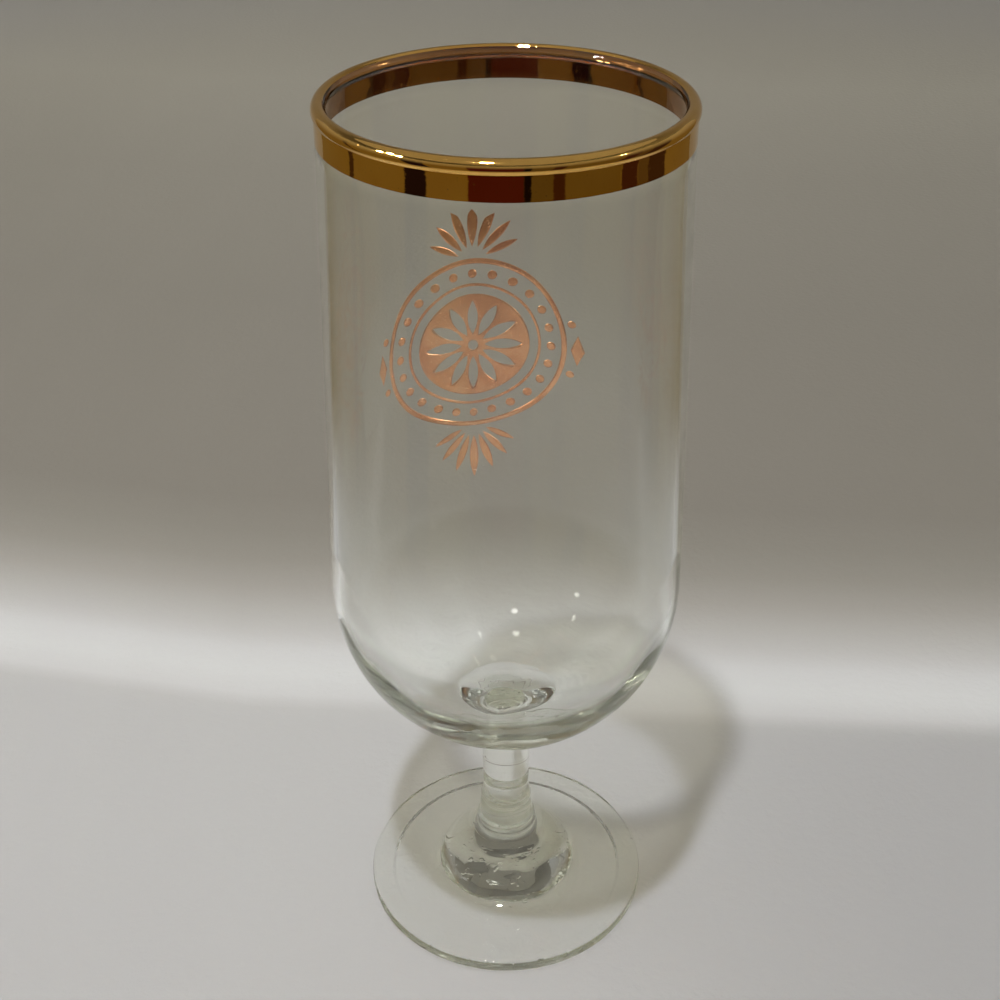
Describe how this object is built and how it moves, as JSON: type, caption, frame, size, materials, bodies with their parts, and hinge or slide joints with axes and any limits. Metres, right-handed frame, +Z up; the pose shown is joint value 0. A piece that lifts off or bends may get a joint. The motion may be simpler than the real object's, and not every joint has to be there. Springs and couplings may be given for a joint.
{
  "type": "footed beer glass",
  "caption": "Clear footed beer glass with a tall, slightly flared bowl, short stem and round foot, a gilded rim band and a copper lustre ornament.",
  "frame": {"origin": "centre of the foot's underside, on the surface that the glass stands on", "axes": "+Z up along the glass's axis, from foot to rim; +Y towards the side that carries the ornament"},
  "size_m": [0.0686, 0.0687, 0.178],
  "materials": {
    "clear_glass": "clear soda-lime glass, fire-polished, with a faint olive tint where it is thick",
    "gilding": "bright fired gold, mirror-like",
    "copper_lustre": "bright fired copper-gold lustre"
  },
  "bodies": {
    "root": {"bowl": "clear_glass", "stem": "clear_glass", "foot": "clear_glass", "gold_rim": "gilding", "lustre_shield": "copper_lustre", "lustre_hoops": "copper_lustre", "lustre_beads": "copper_lustre", "lustre_fans": "copper_lustre", "lustre_sides": "copper_lustre"}
  },
  "joints": []
}
